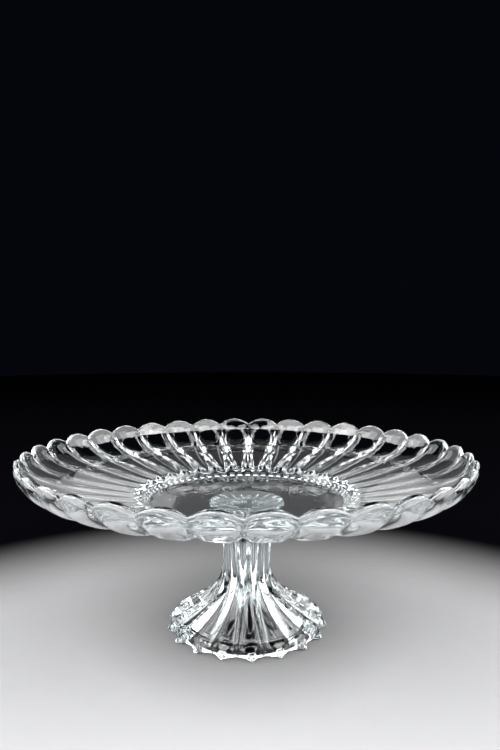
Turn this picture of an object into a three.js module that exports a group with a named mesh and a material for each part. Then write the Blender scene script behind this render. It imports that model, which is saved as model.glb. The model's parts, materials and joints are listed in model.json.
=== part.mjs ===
// Pressed-glass cake stand: a fluted, scalloped plate bonded to a hollow, fluted pedestal.
// Millimetres, +Z up. The origin is on the table, under the middle of the stand.
// The front of the stand is -Y. Angles are measured from the front, towards +X.

import * as THREE from "three";

const TURN = 2 * Math.PI;
const degrees = THREE.MathUtils.degToRad;
const point = (radius, height) => new THREE.Vector2(radius, height);

// ---------------------------------------------------------------- driving dimensions

const PLATE_RADIUS = 150; // over the crests of the scallops
const STAND_HEIGHT = 121.5; // to the tips of the scallops
const SCALLOPS = 36; // lobes round the plate

const FLOOR_TOP = 87.5; // where the cake sits
const FLOOR_THICKNESS = 5;
const FLOOR_RADIUS = 66;

const RING_RADIUS = 71; // the narrow ring round the floor
const RING_TOP = 92.8;
const FLUTES_START = 75.5; // the flutes run from here out to the fold
const FLUTES_TOP = 94.3;
const FOLD_RADIUS = 124.5; // where the shallow plate turns up into its wall
const FOLD_TOP = 102;

const BOND_THICKNESS = 0.25; // clear adhesive between plate and pedestal
const BOND_RADIUS = 24.5;

const FLUTES = 18; // petals round the pedestal
const FOOT_RADIUS = 55; // over the points of the petals
const FOOT_TURN = degrees(3.9); // the petal nearest the front stands this far round
const COLLAR_RADIUS = 25.8;
const NECK_RADIUS = 16.4;
const NECK_HEIGHT = 44;
const NECK_FLUTE_DEPTH = 2.2;
const BELL_RADIUS = 43.5; // mouth of the hollow that runs up from under the foot
const BELL_HEIGHT = 56;

// Fineness of the surfaces
const PLATE_SEGMENTS = SCALLOPS * 4;
const PEDESTAL_SEGMENTS = FLUTES * 6;
const BOND_SEGMENTS = 72;
const CURVE_STEPS = 4;
const LOBE_POWER = 2.6; // above 2, a lobe is flatter on its crest and steeper beside its grooves

const FLOOR_UNDERSIDE = FLOOR_TOP - FLOOR_THICKNESS;
const PEDESTAL_TOP = FLOOR_UNDERSIDE - BOND_THICKNESS;

// ---------------------------------------------------------------- shapes round the axis

// 0 in the middle of the lobe that holds this angle, 1 in the groove on either side of it.
function acrossLobe(angle, lobes, middle) {
  const lobe = ((angle - middle) * lobes) / TURN;
  return 2 * Math.abs(lobe - Math.round(lobe));
}

// A closed body turned about +Z, whose half section may change with the angle.
// Each section starts and ends on the axis and has the same number of points.
function turnedBody(sectionAt, segments, firstAngle) {
  const geometry = new THREE.LatheGeometry(sectionAt(firstAngle), segments);
  const { position } = geometry.attributes;
  for (let segment = 0; segment <= segments; segment++) {
    const angle = firstAngle + ((segment % segments) * TURN) / segments;
    const section = sectionAt(angle);
    section.forEach(({ x: radius, y: height }, index) => {
      const x = radius * Math.sin(angle);
      const y = -radius * Math.cos(angle);
      position.setXYZ(segment * section.length + index, x, y, height);
    });
  }
  geometry.computeVertexNormals();
  return geometry;
}

// ---------------------------------------------------------------- plate

// Half section of the plate, from the middle of its underside, round the rim, to the middle of
// its floor. The inside is smooth. The outside swells into a lobe between sharp grooves.
function plateSection(angle) {
  const across = acrossLobe(angle, SCALLOPS, TURN / SCALLOPS / 2);
  const swell = 1 - across ** LOBE_POWER;
  const outline = 1 - across ** 2;
  const outside = (groove, crest) => groove.lerp(crest, swell);
  const rim = (notch, tip) => notch.lerp(tip, outline);

  const ringUnderside = point(RING_RADIUS + 1.4, FLOOR_UNDERSIDE + 7);
  const noseFoot = outside(point(77.4, 92.2), point(74.6, 89.8));
  const nose = outside(point(79, 93), point(78.4, 86.4));
  const fluteUnder = outside(point(101.5, 96.9), point(101, 91.2));
  const foldUnder = outside(point(FOLD_RADIUS, 100.8), point(FOLD_RADIUS, 98.5));
  const wallFoot = outside(point(135.4, 103.2), point(138.5, 100.9));
  const wallSwing = outside(point(143.8, 109.7), point(148.3, 107.5));
  const wallTop = rim(point(148, 115), point(PLATE_RADIUS, 118.2));
  const lipOver = rim(point(146.8, 120.4), point(147.4, STAND_HEIGHT + 2.7));
  const lipInside = rim(point(144.6, 116.4), point(145.9, 119.4));
  const wallInside = point(144.4, 115.8);

  const path = new THREE.Path();
  path.moveTo(0, FLOOR_UNDERSIDE);
  path.lineTo(FLOOR_RADIUS + 1.3, FLOOR_UNDERSIDE);
  path.lineTo(ringUnderside.x, ringUnderside.y);
  path.lineTo(noseFoot.x, noseFoot.y);
  path.lineTo(nose.x, nose.y);
  path.quadraticCurveTo(fluteUnder.x, fluteUnder.y, foldUnder.x, foldUnder.y);
  path.bezierCurveTo(wallFoot.x, wallFoot.y, wallSwing.x, wallSwing.y, wallTop.x, wallTop.y);
  path.quadraticCurveTo(lipOver.x, lipOver.y, lipInside.x, lipInside.y);
  path.lineTo(wallInside.x, wallInside.y);
  path.bezierCurveTo(142.6, 109.2, 135, 105.6, FOLD_RADIUS, FOLD_TOP);
  path.lineTo(FLUTES_START, FLUTES_TOP);
  path.lineTo(RING_RADIUS, RING_TOP);
  path.lineTo(FLOOR_RADIUS, FLOOR_TOP);
  path.lineTo(0, FLOOR_TOP);
  return path.getPoints(CURVE_STEPS);
}

function makePlate() {
  const glass = new THREE.MeshStandardMaterial({ color: 0xe4edef, roughness: 0.04, metalness: 0 });
  const plate = new THREE.Mesh(turnedBody(plateSection, PLATE_SEGMENTS, 0), glass);
  plate.name = "plate";
  return plate;
}

// ---------------------------------------------------------------- bond layer

function makeBondLayer() {
  const resin = new THREE.MeshStandardMaterial({ color: 0xf1f3ee, roughness: 0.1, metalness: 0 });
  const disc = new THREE.CylinderGeometry(BOND_RADIUS, BOND_RADIUS, BOND_THICKNESS, BOND_SEGMENTS);
  disc.rotateX(Math.PI / 2);
  const bondLayer = new THREE.Mesh(disc, resin);
  bondLayer.name = "bond_layer";
  bondLayer.position.z = FLOOR_UNDERSIDE - BOND_THICKNESS / 2;
  return bondLayer;
}

// ---------------------------------------------------------------- pedestal

// Half section of the pedestal, from the top of the hollow, which runs up into the neck, round
// the foot and up the outside, to the middle of the collar's flat top. Each petal ends in a
// point at the table, and the foot's edge curves in between the points.
function pedestalSection(angle) {
  const across = acrossLobe(angle, FLUTES, FOOT_TURN);
  const swell = 1 - across ** LOBE_POWER;
  const sharpness = (1 - across) ** 2;
  const flute = (groove, crest) => groove.lerp(crest, swell);
  const edge = (between, tip) => between.lerp(tip, sharpness);

  const footEdge = edge(point(FOOT_RADIUS - 4.2, 1.6), point(FOOT_RADIUS, 0.5));
  const bandTop = flute(point(50, 4.9), point(50.2, 8.2));
  const flareLow = flute(point(26.1, 16.2), point(27.5, 19.5));
  const flareHigh = flute(point(16.2 - NECK_FLUTE_DEPTH, 26.2), point(16.2, 28));
  const neck = flute(point(NECK_RADIUS - NECK_FLUTE_DEPTH, NECK_HEIGHT), point(NECK_RADIUS, NECK_HEIGHT));
  const neckHigh = flute(point(16.5 - NECK_FLUTE_DEPTH, 66), point(16.5, 66));
  const collarLow = flute(point(17.8 - NECK_FLUTE_DEPTH, 76.6), point(17.8, 77.2));
  const collarEdge = flute(point(COLLAR_RADIUS - 1.1, 79.4), point(COLLAR_RADIUS, 79.4));

  const path = new THREE.Path();
  path.moveTo(0, BELL_HEIGHT);
  path.quadraticCurveTo(3, BELL_HEIGHT, 4.4, 50);
  path.bezierCurveTo(7.4, 34, 19, 20, BELL_RADIUS - 1.5, 3.6);
  path.lineTo(BELL_RADIUS, 0);
  path.lineTo(BELL_RADIUS + 5.2, 0);
  path.lineTo(footEdge.x, footEdge.y);
  path.lineTo(bandTop.x, bandTop.y);
  path.bezierCurveTo(flareLow.x, flareLow.y, flareHigh.x, flareHigh.y, neck.x, neck.y);
  path.bezierCurveTo(neckHigh.x, neckHigh.y, collarLow.x, collarLow.y, collarEdge.x, collarEdge.y);
  path.lineTo(COLLAR_RADIUS - 1, PEDESTAL_TOP);
  path.lineTo(0, PEDESTAL_TOP);
  return path.getPoints(CURVE_STEPS);
}

function makePedestal() {
  const glass = new THREE.MeshStandardMaterial({ color: 0xdde8eb, roughness: 0.04, metalness: 0 });
  const pedestal = new THREE.Mesh(turnedBody(pedestalSection, PEDESTAL_SEGMENTS, FOOT_TURN), glass);
  pedestal.name = "pedestal";
  return pedestal;
}

const cakeStand = new THREE.Group();
cakeStand.add(makePlate(), makeBondLayer(), makePedestal());

export default cakeStand;
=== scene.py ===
import json
import math

import bpy
import numpy as np
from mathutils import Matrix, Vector, noise


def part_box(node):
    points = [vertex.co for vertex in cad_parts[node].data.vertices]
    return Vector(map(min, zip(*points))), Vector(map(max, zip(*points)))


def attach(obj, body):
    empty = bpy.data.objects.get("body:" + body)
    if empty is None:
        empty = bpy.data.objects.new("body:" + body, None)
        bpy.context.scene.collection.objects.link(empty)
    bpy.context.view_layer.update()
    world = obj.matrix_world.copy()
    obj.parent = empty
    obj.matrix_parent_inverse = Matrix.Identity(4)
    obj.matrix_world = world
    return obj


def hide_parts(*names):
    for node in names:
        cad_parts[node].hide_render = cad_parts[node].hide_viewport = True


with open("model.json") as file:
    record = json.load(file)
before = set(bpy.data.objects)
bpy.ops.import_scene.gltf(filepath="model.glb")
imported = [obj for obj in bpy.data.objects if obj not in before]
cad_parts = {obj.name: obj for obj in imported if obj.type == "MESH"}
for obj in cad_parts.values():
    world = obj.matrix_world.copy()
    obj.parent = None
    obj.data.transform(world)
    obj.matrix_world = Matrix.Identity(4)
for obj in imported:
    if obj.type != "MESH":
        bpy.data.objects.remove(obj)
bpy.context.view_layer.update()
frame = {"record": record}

# The stand is worked out in millimetres, and the stage in metres.
MM = 0.001
TURN = 2 * math.pi

# Blender's noise vectors take their seed from the clock unless one is set.
noise.seed_set(1)

# ------------------------------------------------------------------ what the frame gives

MOUNTS = {mount["name"]: mount["pos_m"] for mount in frame["record"]["mounts"]}
PLATE_LOW, PLATE_HIGH = [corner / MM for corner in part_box("plate")]
BOND_LOW, BOND_HIGH = [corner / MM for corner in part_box("bond_layer")]
PEDESTAL_LOW, PEDESTAL_HIGH = [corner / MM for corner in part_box("pedestal")]

SCALLOPS = 36
PETALS = 18
FOOT_TURN = math.radians(3.9)

PLATE_RADIUS = PLATE_HIGH.x / math.cos(math.pi / SCALLOPS)
RIM_TOP = PLATE_HIGH.z
UNDERSIDE = PLATE_LOW.z
FLOOR_TOP = MOUNTS["plate_floor"][2] / MM
FOOT_RADIUS = -PEDESTAL_LOW.y / math.cos(FOOT_TURN)
COLLAR_TOP = PEDESTAL_HIGH.z


# ------------------------------------------------------------------ outlines and turned bodies

class Outline:
    """A half section of points (radius, height), with the number of points that each stretch takes."""

    def __init__(self, radius, height):
        self.points = [(radius, height)]

    def line(self, radius, height, steps=1):
        start = self.points[-1]
        for step in range(1, steps + 1):
            t = step / steps
            self.points.append((start[0] + (radius - start[0]) * t, start[1] + (height - start[1]) * t))

    def curve(self, *controls, steps=6):
        """A Bezier curve from the last point through the controls to the last of them."""
        knots = np.array([self.points[-1], *controls], float)
        degree = len(knots) - 1
        for step in range(1, steps + 1):
            t = step / steps
            weights = [math.comb(degree, n) * t**n * (1 - t) ** (degree - n) for n in range(degree + 1)]
            self.points.append(tuple(np.array(weights) @ knots))

    def array(self):
        return np.array(self.points)


def between(groove, crest, share):
    """The point this share of the way from the groove's place to the crest's."""
    return tuple(g + (c - g) * share for g, c in zip(groove, crest))


def spread(groove, crest, share):
    """Rings of outline points, each its own share of the way from the groove's outline to the crest's."""
    return groove[:, None, :] + (crest - groove)[:, None, :] * share[:, :, None]


def eased_kink(distance, rounding):
    """0 to 1 like the distance, but leaving 0 in a small round instead of a kink."""
    return (np.sqrt(distance**2 + rounding**2) - rounding) / (math.sqrt(1 + rounding**2) - rounding)


GROOVE_ROUNDING = 0.025


def from_crest(across):
    """The same distance from the lobe's crest, with the crease in the groove eased to a small round."""
    return 1 - eased_kink(1 - across, GROOVE_ROUNDING)


def turned_mesh(name, rings, angles, sharp_degrees):
    """A closed body from rings[point, turn], the (radius, height) of each outline point at each angle.
    The first and last outline points are on the axis. Angles run from the front, towards +X."""
    middle = rings[1:-1]
    count, around = middle.shape[:2]
    x = middle[:, :, 0] * np.sin(angles)
    y = -middle[:, :, 0] * np.cos(angles)
    verts = np.stack([x, y, middle[:, :, 1]], axis=2).reshape(-1, 3)
    first, last = len(verts), len(verts) + 1
    verts = np.vstack([verts, [0, 0, rings[0, 0, 1]], [0, 0, rings[-1, 0, 1]]]) * MM
    faces = []
    top = (count - 1) * around
    for here in range(around):
        beside = (here + 1) % around
        faces.append((first, beside, here))
        for point in range(count - 1):
            low, high = point * around, (point + 1) * around
            faces.append((low + here, low + beside, high + beside, high + here))
        faces.append((top + here, top + beside, last))
    mesh = bpy.data.meshes.new(name)
    mesh.from_pydata(verts.tolist(), [], faces)
    mesh.shade_smooth()
    mesh.set_sharp_from_angle(angle=math.radians(sharp_degrees))
    mesh.update()
    return mesh


def ripple(mesh, amount, size, keep_radius):
    """Pressed glass is never quite true: moves points by up to the amount along each axis, in waves
    of about this size. The flat joint inside keep_radius stays true, and the ripple grows from there."""
    grows_over = 10
    for vertex in mesh.vertices:
        place = vertex.co / (size * MM)
        radius = math.hypot(vertex.co.x, vertex.co.y) / MM
        share = min(max((radius - keep_radius) / grows_over, 0), 1)
        shove = noise.noise_vector(place) * (amount * share * MM)
        vertex.co += Vector((shove.x, shove.y, shove.z))


def add_piece(name, mesh, node, material):
    piece = bpy.data.objects.new(name, mesh)
    bpy.context.scene.collection.objects.link(piece)
    mesh.materials.append(material)
    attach(piece, "root")
    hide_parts(node)
    return piece


# ------------------------------------------------------------------ plate

# A lobe's cross section is a power curve. It is roundest on the lip and squarest on the wall.
FLUTE_POWER = 2.2
WALL_POWER = 3.4
LIP_POWER = 2
WALL_FROM, WALL_TO = 118, 134  # radii over which a flute turns into the wall
LIP_FROM, LIP_TO = 108, 116  # heights over which the wall turns into the lip

# The beads sit on the slope under the ring round the floor.
BEAD_ROWS = 2
BEADS_PER_LOBE = 2
BEADS_FROM, BEADS_TO = 67.8, 71.6
BEADS_TOP = UNDERSIDE + 6.4
BEAD_RISE = 1.5
BEAD_OUT, BEAD_DOWN = 0.8, 0.6  # about square to the slope


def plate_outline(share):
    """The plate's half section in a groove (share 0) or on a crest (share 1), from the middle of its
    underside, round the rim, to the middle of its floor."""
    def at(groove, crest):
        return between(groove, crest, share)

    ring = UNDERSIDE + 8.5
    half = Outline(0, UNDERSIDE)
    half.line(25, UNDERSIDE, 2)
    half.line(65.6, UNDERSIDE, 4)

    # up the beaded slope and out under the ring
    half.curve((67.2, UNDERSIDE), (68, UNDERSIDE + 0.9), steps=4)
    half.line(71.2, UNDERSIDE + 5.6, 14)
    half.curve((72.2, UNDERSIDE + 7.2), (73.6, UNDERSIDE + 7.6), steps=4)

    # the flute, from its blunt nose out to the wall
    half.line(*at((77.4, ring + 1.2), (74.6, ring - 1.2)), 3)
    half.curve(
        at((77.9, ring + 1.8), (74.8, ring - 4.8)),
        at((79, ring + 2.0), (78.4, ring - 4.6)),
        steps=7,
    )
    half.curve(at((101.5, 96.9), (101, 91.2)), at((124, 100.8), (124, 98.5)), steps=22)

    # the wall and the scalloped lip
    half.curve(
        at((135.4, 103.2), (138.5, 100.9)),
        at((143.8, 109.7), (148.3, 107.5)),
        at((147.4, 114.2), (PLATE_RADIUS, 118.2)),
        steps=24,
    )
    half.curve(
        at((147.6, 116.0), (PLATE_RADIUS, 120.5)),
        at((146.9, 116.7), (148.9, 121.1)),
        steps=5,
    )
    half.line(*at((145.8, 116.9), (147.3, RIM_TOP)), 2)
    half.curve(
        at((145.1, 116.9), (146.6, RIM_TOP + 0.1)),
        at((144.6, 115.9), (145.9, 119.4)),
        steps=5,
    )

    # the smooth inside: wall, fold, dish, ring and floor
    half.line(144.3, 115.0, 2)
    half.curve((142.6, 109.2), (135, 105.6), (125.2, 102.3), steps=16)
    half.curve((124.3, 101.96), (123.2, 101.77), steps=4)
    half.line(77, 94.53, 9)
    half.curve((75.5, 94.3), (74.2, 93.87), steps=3)
    half.line(72, 93.13, 2)
    half.curve((71, 92.8), (70.3, 92.05), steps=4)
    half.line(67, 88.55, 4)
    half.curve((66, FLOOR_TOP), (64.6, FLOOR_TOP), steps=5)
    half.line(28, FLOOR_TOP, 3)
    half.line(0, FLOOR_TOP, 2)
    return half.array()


def lobe_angles(half_steps, cluster):
    """Angles round the plate, closer together towards the grooves, and how far each is from its
    lobe's crest: 0 on the crest, 1 in the groove. The front is in a groove."""
    near_groove = (np.arange(half_steps + 1) / half_steps) ** cluster
    offsets = np.concatenate([-(1 - near_groove)[:-1], (1 - near_groove)[::-1][:-1]])
    angles = []
    for lobe in range(SCALLOPS):
        middle = TURN / SCALLOPS / 2 + lobe * TURN / SCALLOPS
        angles.append(middle + offsets * TURN / SCALLOPS / 2)
    return np.concatenate(angles), np.tile(np.abs(offsets), SCALLOPS)


def raise_beads(rings, angles):
    """Rows of small round beads on the underside of the slope."""
    radius, height = rings[:, :, 0], rings[:, :, 1]
    row = (radius - BEADS_FROM) / (BEADS_TO - BEADS_FROM) * BEAD_ROWS
    on_slope = (height < BEADS_TOP) & (row > 0) & (row < BEAD_ROWS)
    turn = angles * SCALLOPS * BEADS_PER_LOBE / TURN
    over_row = 1 - (2 * (row - np.floor(row)) - 1) ** 2
    over_turn = 1 - (2 * (turn - np.round(turn))) ** 2
    rise = np.where(on_slope, BEAD_RISE * over_row.clip(0, 1) * over_turn, 0)
    rings[:, :, 0] += rise * BEAD_OUT
    rings[:, :, 1] -= rise * BEAD_DOWN


def make_plate(material):
    angles, across = lobe_angles(half_steps=9, cluster=1.5)
    groove, crest = plate_outline(0), plate_outline(1)
    wall = np.clip((crest[:, 0] - WALL_FROM) / (WALL_TO - WALL_FROM), 0, 1)
    lip = np.clip((crest[:, 1] - LIP_FROM) / (LIP_TO - LIP_FROM), 0, 1)
    power = FLUTE_POWER + (WALL_POWER - FLUTE_POWER) * wall + (LIP_POWER - WALL_POWER) * lip
    swell = 1 - from_crest(across)[None, :] ** power[:, None]
    rings = spread(groove, crest, swell)
    raise_beads(rings, angles)
    mesh = turned_mesh("plate_glass", rings, angles, sharp_degrees=38)
    ripple(mesh, amount=0.06, size=16, keep_radius=30)
    return add_piece("plate_glass", mesh, "plate", material)


# ------------------------------------------------------------------ bond layer

def make_bond(material):
    """The clear adhesive, bulged a little at its edge, and let into both glass faces so that no
    air lies between."""
    sink, edge, bulge = 0.03, 0.3, 0.15
    radius = BOND_HIGH.x
    low, high = BOND_LOW.z - sink, BOND_HIGH.z + sink
    half = Outline(0, low)
    half.line(radius - edge, low, 3)
    half.curve((radius + bulge, (BOND_LOW.z + BOND_HIGH.z) / 2), (radius - edge, high))
    half.line(0, high, 3)
    segments = 144
    angles = np.arange(segments) * TURN / segments
    rings = np.repeat(half.array()[:, None, :], segments, axis=1)
    mesh = turned_mesh("bond_resin", rings, angles, sharp_degrees=38)
    return add_piece("bond_resin", mesh, "bond_layer", material)


# ------------------------------------------------------------------ pedestal

PETAL_POWER = 2.0
HOLLOW_TOP = 56

# The band of facets round the foot runs from the petals' points up to the top of the band.
POINT_HEIGHT = 0.9
EDGE_RISE = 1.0  # of the foot's edge from a point to midway between two
EDGE_HEIGHT = POINT_HEIGHT + EDGE_RISE
BAND_TOP = (50.2, 8.2)
BAND_GROOVE = (50.0, 4.9)
SCOOP = 4.6
SCOOP_LEAN = 0.12
POINT_ROUNDING = 0.05


def pedestal_outlines(share):
    """The pedestal's half section without the band of facets, in two stretches. The first is the
    hollow and the underside of the foot, between two points (share 0) or at a point (share 1). The
    second is the outside, from the top of the band to the middle of the collar, in a groove
    (share 0) or on a crest (share 1)."""
    def at(groove, crest):
        return between(groove, crest, share)

    hollow = Outline(0, HOLLOW_TOP)
    hollow.curve((3, HOLLOW_TOP), (4.4, 50), steps=10)
    hollow.curve((7.4, 34), (19, 20), (42, 3.6), steps=26)
    hollow.curve((43.5, 1.8), (43.7, 0.7), steps=4)
    hollow.curve((43.8, 0), (44.6, 0), steps=4)
    hollow.line(48.2, 0, 3)
    hollow.curve(at((49.0, 0), (50.4, 0)), at((49.8, 0.6), (52.6, 0.2)), steps=4)
    hollow.line(*at((50.3, 1.2), (FOOT_RADIUS - 0.5, 0.4)), 3)

    outside = Outline(*at(BAND_GROOVE, BAND_TOP))
    outside.curve(
        at((26.1, 16.2), (27.5, 19.5)),
        at((14.0, 26.2), (16.2, 28)),
        at((14.2, 44), (16.4, 44)),
        steps=48,
    )
    outside.curve(
        at((14.3, 66), (16.5, 66)),
        at((15.6, 76.6), (17.8, 77.2)),
        at((24.7, 79.8), (25.8, 79.8)),
        steps=28,
    )
    outside.curve((25.8, COLLAR_TOP), (24.8, COLLAR_TOP), steps=8)
    outside.line(0, COLLAR_TOP, 6)
    return hollow.array(), outside.array()


def band_rings(tip, swell, rows):
    """The facets round the foot: a cone that comes down to the petals' points, cut by a scoop
    between each two. tip is 1 at a point and falls to 0 between two."""
    low = EDGE_HEIGHT - EDGE_RISE * tip
    top = BAND_GROOVE[1] + (BAND_TOP[1] - BAND_GROOVE[1]) * swell
    slope = (FOOT_RADIUS - BAND_TOP[0]) / (BAND_TOP[1] - POINT_HEIGHT)
    rings = []
    for row in range(rows):
        height = low + (top - low) * row / rows
        cone = BAND_TOP[0] + (BAND_TOP[1] - height) * slope
        scoop = FOOT_RADIUS - SCOOP * (1 - tip) - SCOOP_LEAN * (height - EDGE_HEIGHT)
        rings.append(np.stack([np.minimum(cone, scoop), height], axis=1))
    return np.array(rings)


def petal_angles(half_steps):
    """Angles round the pedestal, closer together at the crests and the grooves, and how far each
    is from its petal's crest: 0 on the crest, 1 in the groove."""
    share = (1 - np.cos(np.pi * np.arange(half_steps + 1) / half_steps)) / 2
    offsets = np.concatenate([-share[::-1][:-1], share[:-1]])
    angles = [FOOT_TURN + (petal + offsets / 2) * TURN / PETALS for petal in range(PETALS)]
    return np.concatenate(angles), np.tile(np.abs(offsets), PETALS)


def make_pedestal(material):
    angles, across = petal_angles(half_steps=14)
    swell = 1 - from_crest(across) ** PETAL_POWER
    tip = (1 - eased_kink(across, POINT_ROUNDING)) ** 2
    hollow_between, outside_groove = pedestal_outlines(0)
    hollow_point, outside_crest = pedestal_outlines(1)
    hollow = spread(hollow_between, hollow_point, tip[None, :])
    outside = spread(outside_groove, outside_crest, swell[None, :])
    rings = np.concatenate([hollow, band_rings(tip, swell, rows=14), outside])
    mesh = turned_mesh("pedestal_glass", rings, angles, sharp_degrees=28)
    ripple(mesh, amount=0.04, size=11, keep_radius=26)
    return add_piece("pedestal_glass", mesh, "pedestal", material)


# ------------------------------------------------------------------ materials

def node_material(name):
    material = bpy.data.materials.new(name)
    material.use_nodes = True
    tree = material.node_tree
    return material, tree.nodes, tree.links


def add_node(nodes, kind, values):
    """A new node with these values in its inputs."""
    node = nodes.new(kind)
    for socket, value in values.items():
        node.inputs[socket].default_value = value
    return node


def add_colour_mix(nodes, colours):
    """A new node that mixes two colours, with these in its A and B inputs."""
    mix = nodes.new("ShaderNodeMix")
    mix.data_type = "RGBA"
    for end, colour in colours.items():
        mix.inputs[end].default_value = (*colour, 1)
    return mix


def glass(name, tint, depth_tint, density, ior, smear):
    """Clear glass or resin: a faint smear in its polish, a faint ripple in its skin, and a tint
    that grows with depth. The smear is its greatest roughness."""
    material, nodes, links = node_material(name)
    shader = nodes["Principled BSDF"]
    shader.inputs["Transmission Weight"].default_value = 1.0
    shader.inputs["IOR"].default_value = ior
    place = nodes.new("ShaderNodeTexCoord")

    smears = add_node(nodes, "ShaderNodeTexNoise", {"Scale": 55, "Detail": 4})
    polish = add_node(nodes, "ShaderNodeMapRange", {"From Min": 0.45, "From Max": 0.8, "To Max": smear})
    links.new(place.outputs["Object"], smears.inputs["Vector"])
    links.new(smears.outputs["Fac"], polish.inputs["Value"])
    links.new(polish.outputs["Result"], shader.inputs["Roughness"])

    hue = add_colour_mix(nodes, {"A": tint, "B": (0.97, 0.99, 1)})
    links.new(smears.outputs["Fac"], hue.inputs["Factor"])
    links.new(hue.outputs["Result"], shader.inputs["Base Color"])

    skin = add_node(nodes, "ShaderNodeTexNoise", {"Scale": 160, "Detail": 2})
    bump = add_node(nodes, "ShaderNodeBump", {"Strength": 0.15, "Distance": 0.0002})
    links.new(place.outputs["Object"], skin.inputs["Vector"])
    links.new(skin.outputs["Fac"], bump.inputs["Height"])
    links.new(bump.outputs["Normal"], shader.inputs["Normal"])

    depth = add_node(nodes, "ShaderNodeVolumeAbsorption", {"Color": (*depth_tint, 1), "Density": density})
    links.new(depth.outputs["Volume"], nodes["Material Output"].inputs["Volume"])
    return material


def floor_material():
    """A fine pale grain round the stand, in a painted pool of light that fades to painted dark all round,
    standing in for light falling off away from the stand. Clear glass shows its edges only against the
    dark. The distances are in metres, as the stage's are."""
    # Painted pool of light: the floor is pale round this middle and fades to painted dark further out.
    painted_pool_middle, painted_pool_edge, painted_dark_from = (0, -0.12, 0), 0.21, 0.37
    material, nodes, links = node_material("pale_floor")
    shader = nodes["Principled BSDF"]
    shader.inputs["Roughness"].default_value = 0.9
    shader.inputs["Specular IOR Level"].default_value = 0.0

    grain = add_node(nodes, "ShaderNodeTexNoise", {"Scale": 400})
    pale = add_colour_mix(nodes, {"A": (0.29, 0.29, 0.295), "B": (0.305, 0.305, 0.31)})
    links.new(grain.outputs["Fac"], pale.inputs["Factor"])

    place = nodes.new("ShaderNodeTexCoord")
    reach = nodes.new("ShaderNodeVectorMath")
    reach.operation = "DISTANCE"
    reach.inputs[1].default_value = painted_pool_middle
    # The fade from the painted pool of light to the painted dark round it.
    painted_light_falloff = add_node(nodes, "ShaderNodeMapRange", {"From Min": painted_pool_edge, "From Max": painted_dark_from})
    painted_light_falloff.interpolation_type = "SMOOTHSTEP"
    links.new(place.outputs["Object"], reach.inputs[0])
    links.new(reach.outputs["Value"], painted_light_falloff.inputs["Value"])

    # Painted dark beyond the pool of light, standing in for floor that no light reaches.
    colour = add_colour_mix(nodes, {"B": (0.001, 0.001, 0.0015)})
    links.new(painted_light_falloff.outputs["Result"], colour.inputs["Factor"])
    links.new(pale.outputs["Result"], colour.inputs["A"])
    links.new(colour.outputs["Result"], shader.inputs["Base Color"])
    return material


# ------------------------------------------------------------------ stage, in metres

def make_floor():
    radius, sides, drop = 2.5, 128, 0.0002
    turns = [TURN * side / sides for side in range(sides)]
    ring = [(radius * math.cos(turn), radius * math.sin(turn), -drop) for turn in turns]
    mesh = bpy.data.meshes.new("floor")
    mesh.from_pydata(ring, [], [tuple(range(sides))])
    floor = bpy.data.objects.new("floor", mesh)
    bpy.context.scene.collection.objects.link(floor)
    mesh.materials.append(floor_material())


def softbox(name, azimuth, elevation, width, height, radiance, shape="RECTANGLE"):
    """A soft light that faces the stand, as bright as radiance whatever its size.
    Azimuth is in degrees from the back of the stand, towards +X."""
    reach, middle = 1.3, Vector((0, 0, 0.09))
    turn, rise = math.radians(azimuth), math.radians(elevation)
    away = Vector((math.sin(turn) * math.cos(rise), math.cos(turn) * math.cos(rise), math.sin(rise)))
    light = bpy.data.lights.new(name, "AREA")
    light.shape = shape
    light.size = width
    light.size_y = height
    light.energy = radiance * math.pi * width * height
    lamp = bpy.data.objects.new(name, light)
    bpy.context.scene.collection.objects.link(lamp)
    lamp.location = middle + away * reach
    lamp.rotation_euler = (-away).to_track_quat("-Z", "Y").to_euler()
    lamp.visible_camera = False


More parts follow.
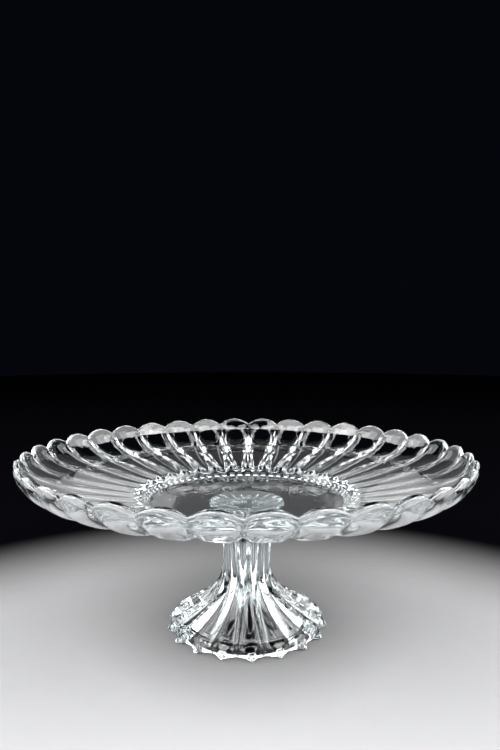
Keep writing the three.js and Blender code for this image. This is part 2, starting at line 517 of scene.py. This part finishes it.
def make_lights():
    """Big lights in front and at the sides brighten the grooves and ribs. Behind are a weak one and
    two glows, each of four ellipses inside one another, so that its mirror image has a soft edge."""
    for side in (-1, 1):
        softbox("front", side * 133, elevation=47, width=1.3, height=0.85, radiance=8.4)
    for side in (-1, 1):
        softbox("side", side * 80, elevation=32, width=1.4, height=1.0, radiance=4.5)
    softbox("back", 0, elevation=20, width=0.9, height=0.7, radiance=0.2)
    for side in (-1, 1):
        for share in (0.25, 0.5, 0.75, 1):
            width, height = 0.5 * share, 0.36 * share
            softbox("glow", side * 20, 13, width, height, radiance=0.4, shape="ELLIPSE")


def make_world():
    world = bpy.data.worlds.new("dark_room")
    bpy.context.scene.world = world
    world.use_nodes = True
    back = world.node_tree.nodes["Background"]
    back.inputs["Color"].default_value = (0.0015, 0.002, 0.004, 1)
    back.inputs["Strength"].default_value = 1.0


def make_camera():
    """The camera stands close, a little above the rim, just right of the front, and looks slightly
    down."""
    azimuth, distance, height = math.radians(0.66), 0.4377, 0.2042
    tilt_down, turn_left = 4.225, 0.36
    data = bpy.data.cameras.new("camera")
    data.sensor_width = 36
    data.lens = 31.24
    data.clip_start = 0.01
    camera = bpy.data.objects.new("camera", data)
    bpy.context.scene.collection.objects.link(camera)
    camera.location = (distance * math.sin(azimuth), -distance * math.cos(azimuth), height)
    camera.rotation_euler = (math.radians(90 - tilt_down), 0, math.radians(turn_left))
    bpy.context.scene.camera = camera


def set_light_paths():
    """Deep enough for light to pass through every wall of the stand. Without refracted caustics the
    floor under the hollow foot stays dark."""
    cycles = bpy.context.scene.cycles
    cycles.max_bounces = 24
    cycles.transmission_bounces = 24
    cycles.glossy_bounces = 12
    cycles.caustics_refractive = False
    bpy.context.scene.view_settings.view_transform = "Standard"


# ------------------------------------------------------------------ the scene

CLEAR_GLASS = {
    "tint": (0.95, 0.982, 0.99),
    "depth_tint": (0.72, 0.9, 0.94),
    "density": 3.0,
    "ior": 1.52,
    "smear": 0.05,
}
CURED_RESIN = {
    "tint": (0.985, 0.985, 0.97),
    "depth_tint": (0.97, 0.97, 0.9),
    "density": 10.0,
    "ior": 1.5,
    "smear": 0.08,
}

plate_glass = glass("plate_glass", **CLEAR_GLASS)
pedestal_glass = glass("pedestal_glass", **CLEAR_GLASS)
bond_resin = glass("bond_resin", **CURED_RESIN)

make_camera()
make_plate(plate_glass)
make_bond(bond_resin)
make_pedestal(pedestal_glass)
make_floor()
make_lights()
make_world()
set_light_paths()
